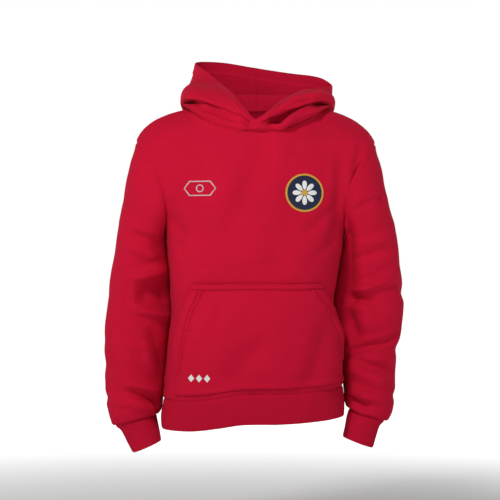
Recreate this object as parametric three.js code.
// A child's pullover hoodie, hollow as it is worn. Millimetres, +Z up, the front faces -Y.
// The origin is the middle of the neck base, level with the tops of the shoulders.
// Left and right in the node names are the wearer's: the wearer's left is +X.
import * as THREE from "three";

// Driving dimensions
const WALL = 2.2; // fleece thickness
const SEAM = 0.3; // clearance between sewn pieces
const UNDERARM_Z = -205;
const NECK = { halfWidth: 112, front: 80, back: 75, drop: 44, backRise: 2 };
const BAND_HEIGHT = 51;
const BODY_CORNER = 2.4; // superellipse power of the body's sections
const SLEEVE_CORNER = 2.15;
const NECK_SHARE = 0.5; // share of a body panel's top edge that belongs to the neckline
const ARMHOLE_CUT = 0.28; // share of a body panel's half width that the armhole takes away
const POCKET_LIFT = 10; // how far the pocket's middle stands off the front
const POCKET_TOP_Z = -297;

const RED = 0xc81632;
const RIB_RED = 0xbe142f;

// Body sections from the hem band up: half widths to each side, depths to the front and back
const BODY_SECTIONS = [
  { z: -560, right: 158, left: 153, front: 101, back: 102 },
  { z: -525, right: 157.5, left: 151.5, front: 103, back: 104 },
  { z: -490, right: 154, left: 149, front: 106, back: 106 },
  { z: -435, right: 151.5, left: 144.5, front: 109, back: 104 },
  { z: -382, right: 145.5, left: 139.5, front: 111, back: 98 },
  { z: -342, right: 141.5, left: 131.5, front: 112, back: 93 },
  { z: -296, right: 144, left: 138, front: 111, back: 92 },
  { z: -250, right: 147.5, left: 145, front: 109, back: 95 },
  { z: -205, right: 152, left: 152, front: 106, back: 99 },
  { z: -160, right: 158, left: 158, front: 102, back: 100 },
];

// Height of the hem seam across the body: it rises towards the wearer's left
const HEM_SEAM = [
  { x: -156, z: -490 },
  { x: -102, z: -489 },
  { x: -58, z: -483 },
  { x: -21, z: -477 },
  { x: 46, z: -476 },
  { x: 118, z: -472 },
  { x: 152, z: -468 },
];

// Sleeve sections from the armhole down. Outer and inner are the points farthest from and nearest to
// the body, y and depth the section's middle and half depth, bow how far the armhole curves inwards.
const SLEEVE_RIGHT = [
  { outer: 201, outerZ: -57, inner: 152, innerZ: -205, y: 0, depth: 60, bow: 19 },
  { outer: 207, outerZ: -76, inner: 154, innerZ: -210, y: 3, depth: 63, bow: 13 },
  { outer: 213, outerZ: -95, inner: 154.5, innerZ: -216, y: 7, depth: 63.5, bow: 8 },
  { outer: 219.5, outerZ: -124, inner: 152.3, innerZ: -224, y: 12, depth: 62.5, bow: 3 },
  { outer: 226.5, outerZ: -160, inner: 149.8, innerZ: -235, y: 17, depth: 60.5, bow: 1 },
  { outer: 233.5, outerZ: -200, inner: 148.2, innerZ: -250, y: 21, depth: 58.5, bow: 0 },
  { outer: 240, outerZ: -243, inner: 145.8, innerZ: -270, y: 25, depth: 57, bow: 0 },
  { outer: 248, outerZ: -287, inner: 144.2, innerZ: -299, y: 28, depth: 56, bow: 0 },
  { outer: 253, outerZ: -333, inner: 142.4, innerZ: -336, y: 28, depth: 55, bow: 0 },
  { outer: 257, outerZ: -376, inner: 144.8, innerZ: -374, y: 26, depth: 54, bow: 0 },
  { outer: 257, outerZ: -415, inner: 149.6, innerZ: -411, y: 22, depth: 53, bow: 0 },
  { outer: 256, outerZ: -455, inner: 153.2, innerZ: -447, y: 18, depth: 51.5, bow: 0 },
  { outer: 253.5, outerZ: -490, inner: 157.5, innerZ: -478, y: 14, depth: 49, bow: 0 },
  { outer: 250.5, outerZ: -514, inner: 160, innerZ: -496, y: 11, depth: 45, bow: 0 },
  { outer: 246.5, outerZ: -530, inner: 164, innerZ: -509, y: 9, depth: 39, bow: 0 },
  { outer: 242.5, outerZ: -537, inner: 167.5, innerZ: -515, y: 8, depth: 34, bow: 0 },
  { outer: 238.5, outerZ: -538, inner: 170.5, innerZ: -516.5, y: 8, depth: 30, bow: 0 },
];
const SLEEVE_LEFT = [
  { outer: 203, outerZ: -60, inner: 152, innerZ: -205, y: 0, depth: 60, bow: 19 },
  { outer: 209, outerZ: -79, inner: 154, innerZ: -210, y: 3, depth: 63, bow: 13 },
  { outer: 215, outerZ: -100, inner: 154.5, innerZ: -216, y: 7, depth: 63.5, bow: 8 },
  { outer: 222, outerZ: -132, inner: 151.9, innerZ: -224, y: 12, depth: 62.5, bow: 3 },
  { outer: 231, outerZ: -168, inner: 148.7, innerZ: -236, y: 17, depth: 61, bow: 1 },
  { outer: 240, outerZ: -206, inner: 145.9, innerZ: -251, y: 21, depth: 59, bow: 0 },
  { outer: 247, outerZ: -248, inner: 142.2, innerZ: -271, y: 25, depth: 57.5, bow: 0 },
  { outer: 251, outerZ: -292, inner: 137.6, innerZ: -300, y: 28, depth: 57, bow: 0 },
  { outer: 254, outerZ: -338, inner: 132.4, innerZ: -338, y: 28, depth: 56, bow: 0 },
  { outer: 251, outerZ: -376, inner: 138.6, innerZ: -376, y: 26, depth: 54, bow: 0 },
  { outer: 242, outerZ: -411, inner: 142.8, innerZ: -410, y: 22, depth: 52, bow: 0 },
  { outer: 240.5, outerZ: -450, inner: 147.4, innerZ: -446, y: 18, depth: 51, bow: 0 },
  { outer: 237.5, outerZ: -484, inner: 152.2, innerZ: -476, y: 14, depth: 48, bow: 0 },
  { outer: 235.5, outerZ: -508, inner: 153.5, innerZ: -492, y: 11, depth: 44, bow: 0 },
  { outer: 230, outerZ: -523, inner: 155.5, innerZ: -502, y: 9, depth: 38, bow: 0 },
  { outer: 225, outerZ: -529, inner: 158.5, innerZ: -507, y: 8, depth: 33, bow: 0 },
  { outer: 221, outerZ: -529.5, inner: 161, innerZ: -508.5, y: 8, depth: 29, bow: 0 },
];

// Cuff sections from the sleeve seam to the wrist, in the same terms
const CUFF_RIGHT = [
  { outer: 238.5, outerZ: -538, inner: 170.5, innerZ: -516.5, y: 8, depth: 30, bow: 0 },
  { outer: 226, outerZ: -550, inner: 165.5, innerZ: -533, y: 5, depth: 28.5, bow: 0 },
  { outer: 208, outerZ: -584, inner: 159, innerZ: -563, y: -1, depth: 26, bow: 0 },
];
const CUFF_LEFT = [
  { outer: 221, outerZ: -529.5, inner: 161, innerZ: -508.5, y: 8, depth: 29, bow: 0 },
  { outer: 212, outerZ: -541, inner: 155.5, innerZ: -523, y: 5, depth: 28, bow: 0 },
  { outer: 199, outerZ: -575, inner: 148.5, innerZ: -556, y: -1, depth: 26, bow: 0 },
];

// Hood rails from the crossed fronts (turn 0) round to the centre back (turn 180): each is given
// by its distance from the neck's axis and its height. The stand rises from the neck seam, the fold
// dips behind it, the belly is the lowest line of the hanging bag, and the flank carries the rim.
const HOOD_RIGHT = [
  { turn: 0, stand: 79, standZ: -38, fold: 79, foldZ: -35, dip: 79.5, dipZ: -32, belly: 80, bellyZ: -29,
    flank: 80, flankZ: -26, rim: 80, rimZ: -23 },
  { turn: 22, stand: 86, standZ: -28, fold: 80, foldZ: -22, dip: 80, dipZ: -17, belly: 83, bellyZ: -12,
    flank: 78, flankZ: -3, rim: 66, rimZ: 5 },
  { turn: 45, stand: 98, standZ: -14, fold: 86, foldZ: -8, dip: 86, dipZ: -2, belly: 95, bellyZ: 4,
    flank: 82, flankZ: 15, rim: 53, rimZ: 22 },
  { turn: 70, stand: 117, standZ: 3, fold: 100, foldZ: 6, dip: 101, dipZ: 10, belly: 114, bellyZ: 15,
    flank: 97, flankZ: 31, rim: 53, rimZ: 35 },
  { turn: 90, stand: 122, standZ: 8, fold: 106, foldZ: 9, dip: 108, dipZ: 11, belly: 125, bellyZ: 14,
    flank: 110, flankZ: 38, rim: 60, rimZ: 45 },
  { turn: 112, stand: 118, standZ: 14, fold: 114, foldZ: 3, dip: 118, dipZ: -8, belly: 134, bellyZ: -10,
    flank: 134, flankZ: 26, rim: 88, rimZ: 66 },
  { turn: 135, stand: 104, standZ: 22, fold: 111, foldZ: 2, dip: 119, dipZ: -52, belly: 139, bellyZ: -76,
    flank: 160, flankZ: -12, rim: 142, rimZ: 90 },
  { turn: 158, stand: 94, standZ: 28, fold: 107, foldZ: 1, dip: 115, dipZ: -96, belly: 137, bellyZ: -138,
    flank: 164, flankZ: -84, rim: 156, rimZ: 94 },
  { turn: 180, stand: 91, standZ: 30, fold: 105, foldZ: 0, dip: 113, dipZ: -118, belly: 136, bellyZ: -166,
    flank: 166, flankZ: -104, rim: 156, rimZ: 86 },
];
const HOOD_LEFT = [
  { turn: 0, stand: 84, standZ: -38, fold: 84, foldZ: -35, dip: 84, dipZ: -32, belly: 84.5, bellyZ: -29,
    flank: 84.5, flankZ: -26, rim: 84, rimZ: -23 },
  { turn: 22, stand: 92, standZ: -31, fold: 84, foldZ: -26, dip: 83, dipZ: -22, belly: 87, bellyZ: -17,
    flank: 81, flankZ: -11, rim: 66, rimZ: -8 },
  { turn: 45, stand: 106, standZ: -18, fold: 90, foldZ: -13, dip: 87, dipZ: -8, belly: 96, bellyZ: -1,
    flank: 83, flankZ: 9, rim: 54, rimZ: 6 },
  { turn: 70, stand: 119, standZ: -1, fold: 101, foldZ: 2, dip: 99, dipZ: 6, belly: 113, bellyZ: 12,
    flank: 98, flankZ: 25, rim: 54, rimZ: 16 },
  { turn: 90, stand: 126, standZ: 6, fold: 107, foldZ: 7, dip: 108, dipZ: 8, belly: 131, bellyZ: 11,
    flank: 122, flankZ: 30, rim: 62, rimZ: 24 },
  { turn: 112, stand: 120, standZ: 12, fold: 116, foldZ: 3, dip: 120, dipZ: -7, belly: 143, bellyZ: -9,
    flank: 144, flankZ: 19, rim: 96, rimZ: 37 },
  { turn: 129, stand: 110, standZ: 20, fold: 113, foldZ: 2, dip: 121, dipZ: -42, belly: 147, bellyZ: -60,
    flank: 169, flankZ: -8, rim: 175, rimZ: 50 },
  { turn: 140, stand: 102, standZ: 23, fold: 110, foldZ: 2, dip: 118, dipZ: -62, belly: 144, bellyZ: -90,
    flank: 172, flankZ: -34, rim: 178, rimZ: 67 },
  { turn: 158, stand: 95, standZ: 28, fold: 107, foldZ: 1, dip: 115, dipZ: -95, belly: 139, bellyZ: -136,
    flank: 168, flankZ: -80, rim: 164, rimZ: 76 },
  { turn: 180, stand: 91, standZ: 30, fold: 105, foldZ: 0, dip: 113, dipZ: -118, belly: 136, bellyZ: -166,
    flank: 166, flankZ: -104, rim: 156, rimZ: 86 },
];
const HOOD_LAP = 6; // degrees by which each front passes the middle
const LAP_STEP = 3.2; // how far the under front is set in where they cross

// Pocket edges, as shares of the front panel's half width, from the hem seam up
const POCKET_EDGES = [
  { rise: 0, right: 0.61, left: 0.95 },
  { rise: 0.28, right: 0.638, left: 0.95 },
  { rise: 0.38, right: 0.638, left: 0.93 },
  { rise: 0.5, right: 0.633, left: 0.9 },
  { rise: 0.6, right: 0.618, left: 0.87 },
  { rise: 0.71, right: 0.588, left: 0.82 },
  { rise: 0.8, right: 0.552, left: 0.73 },
  { rise: 0.88, right: 0.508, left: 0.63 },
  { rise: 1, right: 0.458, left: 0.52 },
];

// Large folds seen from the front: a line from one point to another, its half width and its height
// off the cloth (a trough is negative). Side says which face carries it, -1 the front and 1 the back.
const BODY_FOLDS = [
  { side: -1, x: 62, z: -110, toX: -28, toZ: -285, width: 15, height: -3.5 },
  { side: -1, x: 104, z: -150, toX: 60, toZ: -280, width: 13, height: -3 },
  { side: -1, x: -128, z: -150, toX: -104, toZ: -270, width: 12, height: -3 },
  { side: -1, x: -140, z: -474, toX: 140, toZ: -456, width: 9, height: 2.5 },
  { side: 1, x: -120, z: -140, toX: -20, toZ: -300, width: 16, height: -4 },
  { side: 1, x: 125, z: -150, toX: 30, toZ: -270, width: 15, height: -4 },
  { side: 1, x: -110, z: -345, toX: 100, toZ: -360, width: 14, height: -4 },
  { side: 1, x: -140, z: -474, toX: 140, toZ: -456, width: 9, height: 2.5 },
];
const SLEEVE_RIGHT_FOLDS = [
  { side: -1, x: -205, z: -292, toX: -148, toZ: -338, width: 15, height: -8 },
  { side: -1, x: -182, z: -262, toX: -152, toZ: -288, width: 10, height: 4 },
  { side: -1, x: -222, z: -216, toX: -160, toZ: -262, width: 13, height: -4 },
  { side: -1, x: -230, z: -435, toX: -180, toZ: -484, width: 11, height: 4 },
  { side: -1, x: -214, z: -492, toX: -168, toZ: -512, width: 9, height: -5 },
  { side: 1, x: -235, z: -300, toX: -160, toZ: -330, width: 13, height: 5 },
  { side: 1, x: -225, z: -210, toX: -165, toZ: -250, width: 13, height: -4 },
  { side: 1, x: -230, z: -470, toX: -170, toZ: -492, width: 10, height: -4 },
];
const SLEEVE_LEFT_FOLDS = [
  { side: -1, x: 166, z: -190, toX: 222, toZ: -236, width: 12, height: -5 },
  { side: -1, x: 154, z: -318, toX: 246, toZ: -258, width: 12, height: 5 },
  { side: -1, x: 158, z: -350, toX: 236, toZ: -300, width: 12, height: -4 },
  { side: -1, x: 192, z: -408, toX: 244, toZ: -408, width: 10, height: -5 },
  { side: -1, x: 160, z: -454, toX: 226, toZ: -476, width: 11, height: -4 },
  { side: 1, x: 160, z: -330, toX: 240, toZ: -300, width: 13, height: 5 },
  { side: 1, x: 166, z: -245, toX: 226, toZ: -205, width: 13, height: -4 },
  { side: 1, x: 165, z: -490, toX: 228, toZ: -470, width: 10, height: -4 },
];

// Number of steps in each grid
const BODY_STEPS = { across: 32, lower: 10, upper: 10 };
const SLEEVE_STEPS = { around: 2 * BODY_STEPS.upper, along: 22 };
const CUFF_STEPS = { around: 20, along: 2 };
const BAND_STEPS = { around: 2 * BODY_STEPS.across, up: 2 };
const HOOD_STEPS = { quarter: (BODY_STEPS.across / 2) * NECK_SHARE, up: [3, 3, 3, 3, 3, 6] };
const POCKET_STEPS = { across: 18, up: 8 };

const DEGREE = Math.PI / 180;
const STEP = 1e-4; // step of the slopes taken along a surface

const vec = (x, y, z) => new THREE.Vector3(x, y, z);
const mix = THREE.MathUtils.lerp;
const clamp = THREE.MathUtils.clamp;
const power = (value, exponent) => Math.sign(value) * Math.abs(value) ** exponent;

// A smooth curve through one named column of a table
function column(rows, by, name) {
  const slope = (i) => {
    const a = rows[Math.max(i - 1, 0)];
    const b = rows[Math.min(i + 1, rows.length - 1)];
    return (b[name] - a[name]) / (b[by] - a[by]);
  };
  return (at) => {
    let i = rows.findIndex((row) => row[by] > at) - 1;
    if (i === -2) i = rows.length - 2;
    i = clamp(i, 0, rows.length - 2);
    const start = rows[i];
    const span = rows[i + 1][by] - start[by];
    const f = (at - start[by]) / span;
    const rise = rows[i + 1][name] - start[name];
    const a = slope(i) * span;
    const b = slope(i + 1) * span;
    return start[name] + a * f + (3 * rise - 2 * a - b) * f * f + (a + b - 2 * rise) * f ** 3;
  };
}

// The columns of a table, each as its own curve
function columns(rows, by) {
  const curves = {};
  for (const name of Object.keys(rows[0])) {
    curves[name] = column(rows, by, name);
  }
  return curves;
}

const numbered = (rows) => rows.map((row, index) => ({ ...row, index }));

// Outward normal of a surface at (u, v)
function normalAt(surface, u, v) {
  const alongU = surface(u + STEP, v).sub(surface(u - STEP, v));
  const alongV = surface(u, v + STEP).sub(surface(u, v - STEP));
  return alongU.cross(alongV).normalize();
}

// Sum of the folds at a point whose cloth faces along the normal
function foldHeight(folds, point, normal) {
  let height = 0;
  for (const fold of folds) {
    const facing = clamp(fold.side * normal.y * 1.6, 0, 1);
    const length = Math.hypot(fold.toX - fold.x, fold.toZ - fold.z);
    const dirX = (fold.toX - fold.x) / length;
    const dirZ = (fold.toZ - fold.z) / length;
    const along = ((point.x - fold.x) * dirX + (point.z - fold.z) * dirZ) / length;
    const off = ((point.x - fold.x) * dirZ - (point.z - fold.z) * dirX) / fold.width;
    const ends = Math.exp(-((2.2 * (along - 0.5)) ** 4));
    height += fold.height * facing * ends * Math.exp(-off * off);
  }
  return height;
}

// A closed wall from a grid of outer points and the directions in which its thickness is measured.
// A tube closes on itself around its columns.
function wallGeometry(outer, directions, tube) {
  const rows = outer.length;
  const cols = outer[0].length;
  const points = [];
  for (const depth of [0, WALL]) {
    outer.forEach((row, i) => {
      row.forEach((point, j) => points.push(point.clone().addScaledVector(directions[i][j], -depth)));
    });
  }
  const faces = [];
  const at = (layer, i, j) => layer * rows * cols + i * cols + (j % cols);
  const quad = (a, b, c, d) => faces.push(a, b, c, a, c, d);
  const spans = tube ? cols : cols - 1;
  for (let i = 0; i < rows - 1; i++) {
    for (let j = 0; j < spans; j++) {
      quad(at(0, i, j), at(0, i, j + 1), at(0, i + 1, j + 1), at(0, i + 1, j));
      quad(at(1, i, j), at(1, i + 1, j), at(1, i + 1, j + 1), at(1, i, j + 1));
    }
  }
  for (let j = 0; j < spans; j++) {
    quad(at(0, 0, j), at(1, 0, j), at(1, 0, j + 1), at(0, 0, j + 1));
    quad(at(0, rows - 1, j), at(0, rows - 1, j + 1), at(1, rows - 1, j + 1), at(1, rows - 1, j));
  }
  if (!tube) {
    for (let i = 0; i < rows - 1; i++) {
      quad(at(0, i, 0), at(0, i + 1, 0), at(1, i + 1, 0), at(1, i, 0));
      quad(at(0, i, cols - 1), at(1, i, cols - 1), at(1, i + 1, cols - 1), at(0, i + 1, cols - 1));
    }
  }
  const geometry = new THREE.BufferGeometry();
  geometry.setFromPoints(points);
  geometry.setIndex(faces);
  return geometry;
}

// The wall of a surface over lists of u (columns) and v (rows). Edge directions, where given, are
// shared with the neighbouring piece, and seam edges stay half the clearance away from it.
function wall(surface, us, vs, { tube = false, folds = [], lowEdge, highEdge, sideEdge } = {}) {
  const outer = [];
  const directions = [];
  const shared = (u, v) => {
    if (v === vs[0] && lowEdge) return lowEdge(u);
    if (v === vs.at(-1) && highEdge) return highEdge(u);
    const onSide = u === us[0] || u === us.at(-1);
    return onSide && !tube && sideEdge ? sideEdge(u, v) : undefined;
  };
  vs.forEach((v) => {
    const row = us.map((u) => surface(u, v));
    const facing = us.map((u) => shared(u, v) ?? normalAt(surface, u, v));
    row.forEach((point, j) => point.addScaledVector(facing[j], foldHeight(folds, point, facing[j])));
    outer.push(row);
    directions.push(facing);
  });
  pullIn(outer, directions, tube);
  return wallGeometry(outer, directions, tube);
}

// Moves each edge of a grid half a seam's clearance back into its own cloth, square to the edge
function pullIn(grid, directions, tube) {
  const moves = [];
  const pull = (i, j, inside, before, after) => {
    const point = grid[i][j];
    const move = inside.clone().sub(point);
    const full = move.length();
    const along = after.clone().sub(before).normalize();
    move.addScaledVector(directions[i][j], -move.dot(directions[i][j]));
    const square = move.clone().addScaledVector(along, -move.dot(along));
    const used = square.length() > 0.15 * full ? square : move;
    moves.push([point, used.setLength(SEAM / 2)]);
  };
  const last = grid.length - 1;
  const cols = grid[0].length;
  for (let j = 0; j < cols; j++) {
    const before = tube ? (j + cols - 1) % cols : Math.max(j - 1, 0);
    const after = tube ? (j + 1) % cols : Math.min(j + 1, cols - 1);
    pull(0, j, grid[1][j], grid[0][before], grid[0][after]);
    pull(last, j, grid[last - 1][j], grid[last][before], grid[last][after]);
  }
  if (!tube) {
    for (let i = 0; i <= last; i++) {
      const below = grid[Math.max(i - 1, 0)];
      const above = grid[Math.min(i + 1, last)];
      pull(i, 0, below[1], below[0], above[0]);
      pull(i, cols - 1, below.at(-2), below.at(-1), above.at(-1));
    }
  }
  for (const [point, move] of moves) {
    point.add(move);
  }
}

const steps = (from, to, count) => Array.from({ length: count + 1 }, (_, i) => mix(from, to, i / count));
const ring = (count) => Array.from({ length: count }, (_, i) => i / count);

// The neck seam: turn runs from the middle front (0) over the shoulder (90) to the middle back (180),
// and side is -1 for the wearer's right and 1 for the left
function neckPoint(side, turn) {
  const angle = turn * DEGREE;
  const forward = Math.cos(angle);
  const reach = forward > 0 ? NECK.front : NECK.back;
  const height = forward > 0 ? -NECK.drop : NECK.backRise;
  return vec(side * NECK.halfWidth * Math.sin(angle), -reach * forward, height * Math.abs(forward) ** 1.5);
}

// The shoulder seam, from the neck (0) to the sleeve head (1)
function shoulderPoint(side, share) {
  const tip = side < 0 ? SLEEVE_RIGHT[0] : SLEEVE_LEFT[0];
  const angle = share * 90 * DEGREE;
  const drop = 0.75 * (1 - Math.cos(angle)) + 0.25 * Math.sin(angle);
  return vec(side * mix(NECK.halfWidth, tip.outer, Math.sin(angle)), 0, tip.outerZ * drop);
}

// A point on a sleeve or cuff section: angle 0 is its outer side, a quarter turn its front
function sleeveSurface(side, rows) {
  const curves = columns(numbered(rows), "index");
  return (around, along) => {
    const index = along * (rows.length - 1);
    const row = {};
    for (const name of Object.keys(rows[0])) {
      row[name] = curves[name](index);
    }
    const angle = around * 2 * Math.PI;
    const c = power(Math.cos(angle), 2 / SLEEVE_CORNER);
    const s = power(Math.sin(angle), 2 / SLEEVE_CORNER);
    const x = (row.outer + row.inner) / 2 + ((row.outer - row.inner) / 2) * c - row.bow * s * s;
    const z = (row.outerZ + row.innerZ) / 2 + ((row.outerZ - row.innerZ) / 2) * c;
    return vec(side * x, row.y - row.depth * s, z);
  };
}

// Body section at a height: across runs from -1 (wearer's right side seam) to 1 (left side seam)
const bodyCurves = columns(BODY_SECTIONS, "z");
const hemHeight = column(HEM_SEAM, "x", "z");

function bodySection(face, across, z) {
  const angle = (across * Math.PI) / 2;
  const width = across < 0 ? bodyCurves.right(z) : bodyCurves.left(z);
  const depth = face < 0 ? bodyCurves.front(z) : bodyCurves.back(z);
  const x = width * power(Math.sin(angle), 2 / BODY_CORNER);
  const y = face * depth * power(Math.cos(angle), 2 / BODY_CORNER);
  return vec(x, y, z);
}

function hemZ(across) {
  return hemHeight(154 * power(Math.sin((across * Math.PI) / 2), 2 / BODY_CORNER));
}

// Cubic from a to b with the given end slopes
function blend(a, slopeA, b, slopeB, f) {
  const g = 1 - f;
  return a
    .clone()
    .multiplyScalar((1 + 2 * f) * g * g)
    .addScaledVector(slopeA, f * g * g)
    .addScaledVector(b, f * f * (3 - 2 * f))
    .addScaledVector(slopeB, -f * f * g);
}

// Where a body panel's lines meet the neckline, from the middle (0) to the shoulder (1): between even
// turns and even widths
function neckTurn(share) {
  const u = clamp(share, 0, 1);
  return mix(90 * u, Math.asin(u) / DEGREE, 0.6);
}

// Top edge of a body panel: the neckline in the middle, the shoulder seams at its sides
function topEdge(face, across) {
  const side = Math.sign(across) || 1;
  const share = Math.abs(across);
  if (share > NECK_SHARE) return shoulderPoint(side, (share - NECK_SHARE) / (1 - NECK_SHARE));
  const turn = neckTurn(share / NECK_SHARE);
  return neckPoint(side, face < 0 ? turn : 180 - turn);
}

// A body panel: v from 0 (hem seam) over 1 (level with the underarm) to 2 (neckline and shoulders).
// Above the underarm each line runs up the chest and rolls over the shoulder, cut off at the neckline.
function bodySurface(face) {
  const armholes = { [-1]: sleeveSurface(-1, SLEEVE_RIGHT), 1: sleeveSurface(1, SLEEVE_LEFT) };
  const climb = (across, f) => {
    const end = topEdge(face, across);
    const cut = clamp(Math.abs(end.y) / NECK.front, 0, 1);
    const start = bodySection(face, across, UNDERARM_Z);
    const rise = start.clone().sub(bodySection(face, across, UNDERARM_Z - 1));
    const slope = vec(0, -face * mix(200, 60, cut), 150 * (1 - (1 - cut) ** 2.2));
    return blend(start, rise.multiplyScalar(225 - 60 * cut ** 0.6), end, slope, f);
  };
  const upper = (across, f) => {
    const side = Math.sign(across) || 1;
    const seam = armholes[side](face < 0 ? (1 - f) / 2 : (1 + f) / 2, 0);
    const squeeze = 1 - ARMHOLE_CUT * Math.sin(Math.PI * clamp(f, 0, 1)) ** 0.8;
    const climbed = (share) => climb(side * share * squeeze, Math.abs(f) ** (1 + 0.6 * share * share));
    const share = Math.abs(across);
    return climbed(share).addScaledVector(seam.sub(climbed(1)), share ** 3);
  };
  return (across, v) => {
    if (v > 1) return upper(across, v - 1);
    const hem = hemZ(across);
    const z = mix(hem, UNDERARM_Z, v);
    const point = bodySection(face, across, z);
    const overhang = 3 * Math.exp(-(((z - hem - 9) / 8) ** 2));
    return point.addScaledVector(vec(point.x, point.y, 0).normalize(), overhang);
  };
}

const BODY = { front: bodySurface(-1), back: bodySurface(1) };

// Along a seam the wall's thickness runs halfway between the two pieces that meet there
function seamDirection(normalA, normalB) {
  return normalA.clone().add(normalB).normalize();
}

// Outward normal of the body: its back panel is drawn the other way round
function bodyNormal(face, across, v) {
  return face < 0 ? normalAt(BODY.front, across, v) : normalAt(BODY.back, across, v).negate();
}

function neckEdge(side, face, share) {
  const turn = face < 0 ? neckTurn(share) : 180 - neckTurn(share);
  const hood = hoodSurface(side, side < 0 ? HOOD_RIGHT : HOOD_LEFT);
  const hoodNormal = normalAt((u, up) => hood(side * u, up), side * Math.max(turn, 0.5), 0);
  return seamDirection(bodyNormal(face, side * share * NECK_SHARE, 2), hoodNormal);
}

function armholeEdge(side, angle) {
  const around = (angle + 1) % 1;
  const turn = around > 0.5 ? 1 - around : around;
  const face = around > 0.5 ? 1 : -1;
  const sleeveNormal = normalAt(tubeSurface(side, SLEEVES[side].rows), -side * around, 1);
  return seamDirection(bodyNormal(face, side, 2 - 2 * turn), sleeveNormal);
}

function bodyPanel(face) {
  const surface = face < 0 ? BODY.front : BODY.back;
  const facing = face < 0 ? surface : (across, v) => surface(-across, v);
  const lower = [0, 0.028, 0.06, ...steps(0.11, 1, BODY_STEPS.lower - 3)];
  const rows = [...lower, ...steps(1, 2, BODY_STEPS.upper).slice(1)];
  const turned = (across) => (face < 0 ? across : -across);
  return wall(facing, steps(-1, 1, BODY_STEPS.across), rows, {
    folds: BODY_FOLDS,
    lowEdge: (across) => bandEdge(face, turned(across)),
    highEdge: (across) => {
      const at = turned(across);
      const side = Math.sign(at) || 1;
      const share = Math.abs(at);
      if (share === 1) return armholeEdge(side, 0);
      if (share > NECK_SHARE) return shoulderEdge(side, (share - NECK_SHARE) / (1 - NECK_SHARE));
      return neckEdge(side, face, share / NECK_SHARE);
    },
    sideEdge: (across, v) => {
      const side = Math.sign(turned(across));
      if (v <= 1) return v < 1 ? vec(side, 0, 0) : armholeEdge(side, 0.5);
      return armholeEdge(side, face < 0 ? (2 - v) / 2 : v / 2);
    },
  });
}

// Thickness runs square to the shoulder seam
function shoulderEdge(side, share) {
  const along = shoulderPoint(side, share + STEP).sub(shoulderPoint(side, share - STEP));
  return vec(-side * along.z, 0, Math.abs(along.x)).normalize();
}

// Thickness is level along the hem seam, for the body and the band alike
function bandEdge(face, across) {
  const point = bodySection(face, across, UNDERARM_Z);
  const width = across < 0 ? bodyCurves.right(UNDERARM_Z) : bodyCurves.left(UNDERARM_Z);
  const depth = face < 0 ? bodyCurves.front(UNDERARM_Z) : bodyCurves.back(UNDERARM_Z);
  const x = power(point.x / width, BODY_CORNER - 1) / width;
  const y = power(point.y / depth, BODY_CORNER - 1) / depth;
  return vec(x, y, 0).normalize();
}

// The hem band goes once round: a quarter turn is the middle front
function hemBand() {
  const place = (around) => {
    const turn = ((around % 1) + 1) % 1;
    const face = turn < 0.5 ? -1 : 1;
    const across = turn < 0.5 ? mix(-1, 1, turn * 2) : mix(1, -1, turn * 2 - 1);
    return { face, across };
  };
  const surface = (around, v) => {
    const { face, across } = place(around);
    const point = bodySection(face, across, hemZ(across) - BAND_HEIGHT * (1 - v));
    const middle = 2 * Math.sin(Math.PI * clamp(v, 0, 1));
    return point.addScaledVector(vec(point.x, point.y, 0).normalize(), middle);
  };
  const level = (around) => bandEdge(place(around).face, place(around).across);
  return wall(surface, ring(BAND_STEPS.around), steps(0, 1, BAND_STEPS.up), {
    tube: true,
    lowEdge: level,
    highEdge: level,
  });
}

// Sleeves and cuffs are drawn from their lower edge up, so that their faces point out
const SLEEVES = {
  [-1]: { rows: SLEEVE_RIGHT, cuff: CUFF_RIGHT, folds: SLEEVE_RIGHT_FOLDS },
  1: { rows: SLEEVE_LEFT, cuff: CUFF_LEFT, folds: SLEEVE_LEFT_FOLDS },
};

function tubeSurface(side, rows) {
  const surface = sleeveSurface(side, rows);
  return (around, up) => surface(-side * around, 1 - up);
}

function cuffSeam(side) {
  const { rows, cuff } = SLEEVES[side];
  const above = tubeSurface(side, rows);
  const below = tubeSurface(side, cuff);
  return (around) => seamDirection(normalAt(above, around, 0), normalAt(below, around, 1));
}

function sleeve(side) {
  const { rows, folds } = SLEEVES[side];
  return wall(tubeSurface(side, rows), ring(SLEEVE_STEPS.around), steps(0, 1, SLEEVE_STEPS.along), {
    tube: true,
    folds,
    lowEdge: cuffSeam(side),
    highEdge: (around) => armholeEdge(side, -side * around),
  });
}

function cuff(side) {
  const surface = tubeSurface(side, SLEEVES[side].cuff);
  return wall(surface, ring(CUFF_STEPS.around), steps(0, 1, CUFF_STEPS.along), {
    tube: true,
    highEdge: cuffSeam(side),
  });
}

// Half of the hood: turn runs from the crossed front to the centre back, up from the seam to the rim
function hoodSurface(side, rows) {
  const curves = columns(rows, "turn");
  const rails = ["stand", "fold", "dip", "belly", "flank", "rim"];
  return (turn, up) => {
    const table = Math.max(turn, 0);
    const seam = neckPoint(side, turn);
    const lapped = 1 - THREE.MathUtils.smoothstep(table, HOOD_LAP, 2.5 * HOOD_LAP);
    const underlap = side < 0 ? LAP_STEP * lapped : 0;
    const places = [{ step: 0, out: Math.hypot(seam.x, seam.y) - underlap, z: seam.z }];
    rails.forEach((name, i) => {
      places.push({ step: i + 1, out: curves[name](table), z: curves[name + "Z"](table) });
    });
    const out = column(places, "step", "out")(up);
    const z = column(places, "step", "z")(up);
    const seamAngle = Math.atan2(side * seam.x, -seam.y);
    const angle = mix(seamAngle, turn * DEGREE, clamp(up / 2, 0, 1));
    return vec(side * out * Math.sin(angle), -out * Math.cos(angle), z);
  };
}

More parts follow.
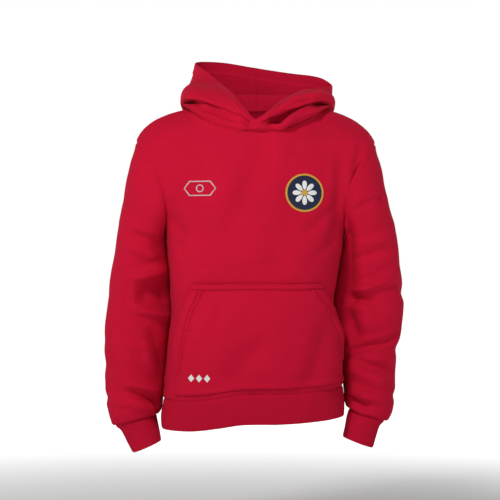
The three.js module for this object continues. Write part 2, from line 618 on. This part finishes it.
function hoodHalf(side, rows) {
  const surface = hoodSurface(side, rows);
  const quarter = steps(0, 1, HOOD_STEPS.quarter);
  const edges = new Map([[-side * HOOD_LAP, [-1, 0]]]);
  for (const share of quarter) {
    edges.set(side * neckTurn(share), [-1, share]);
  }
  for (const share of quarter.slice(0, -1).reverse()) {
    edges.set(side * (180 - neckTurn(share)), [1, share]);
  }
  const turns = [...edges.keys()];
  if (side < 0) turns.reverse();
  const ups = HOOD_STEPS.up.flatMap((count, span) => steps(span, span + 1, count).slice(0, count));
  return wall((turn, up) => surface(side * turn, up), turns, [...ups, HOOD_STEPS.up.length], {
    lowEdge: (turn) => neckEdge(side, ...edges.get(turn)),
    sideEdge: (turn, up) => (side * turn > 90 ? backSeamEdge(surface, up) : undefined),
  });
}

// Thickness along the hood's centre-back seam stays in the middle plane
function backSeamEdge(surface, up) {
  const along = surface(180, up + STEP).sub(surface(180, up - STEP));
  return vec(0, along.z, -along.y).normalize();
}

// The pocket is made from the front panel's points, moved out
function pocket() {
  const front = bodySurface(-1);
  const edges = columns(POCKET_EDGES, "rise");
  const surface = (across, rise) => {
    const share = across < 0 ? edges.right(rise) : edges.left(rise);
    const at = across * share;
    const hem = hemZ(at);
    const v = mix(0.03, (POCKET_TOP_Z - hem) / (UNDERARM_Z - hem), rise);
    const point = front(at, v);
    const normal = normalAt(front, at, v);
    const height = foldHeight(BODY_FOLDS, point, normal);
    const open = THREE.MathUtils.smoothstep(rise, 0.28, 0.45);
    const side = mix(1 - Math.abs(across) ** 6, 1 - 0.45 * Math.abs(across) ** 4, open);
    const lift = POCKET_LIFT * Math.sin(Math.PI * clamp(rise, 0, 1)) ** 0.6 * side;
    return point.addScaledVector(normal, height + WALL + SEAM + lift);
  };
  return wall(surface, steps(-1, 1, POCKET_STEPS.across), steps(0, 1, POCKET_STEPS.up));
}

const hoodie = new THREE.Group();

function add(name, geometry, color) {
  const material = new THREE.MeshStandardMaterial({ color, roughness: 0.95, metalness: 0 });
  const mesh = new THREE.Mesh(geometry, material);
  mesh.name = name;
  hoodie.add(mesh);
}

add("body_front", bodyPanel(-1), RED);
add("body_back", bodyPanel(1), RED);
add("sleeve_right", sleeve(-1), RED);
add("sleeve_left", sleeve(1), RED);
add("cuff_right", cuff(-1), RIB_RED);
add("cuff_left", cuff(1), RIB_RED);
add("hem_band", hemBand(), RIB_RED);
add("hood_right", hoodHalf(-1, HOOD_RIGHT), RED);
add("hood_left", hoodHalf(1, HOOD_LEFT), RED);
add("pocket", pocket(), RED);

export default hoodie;
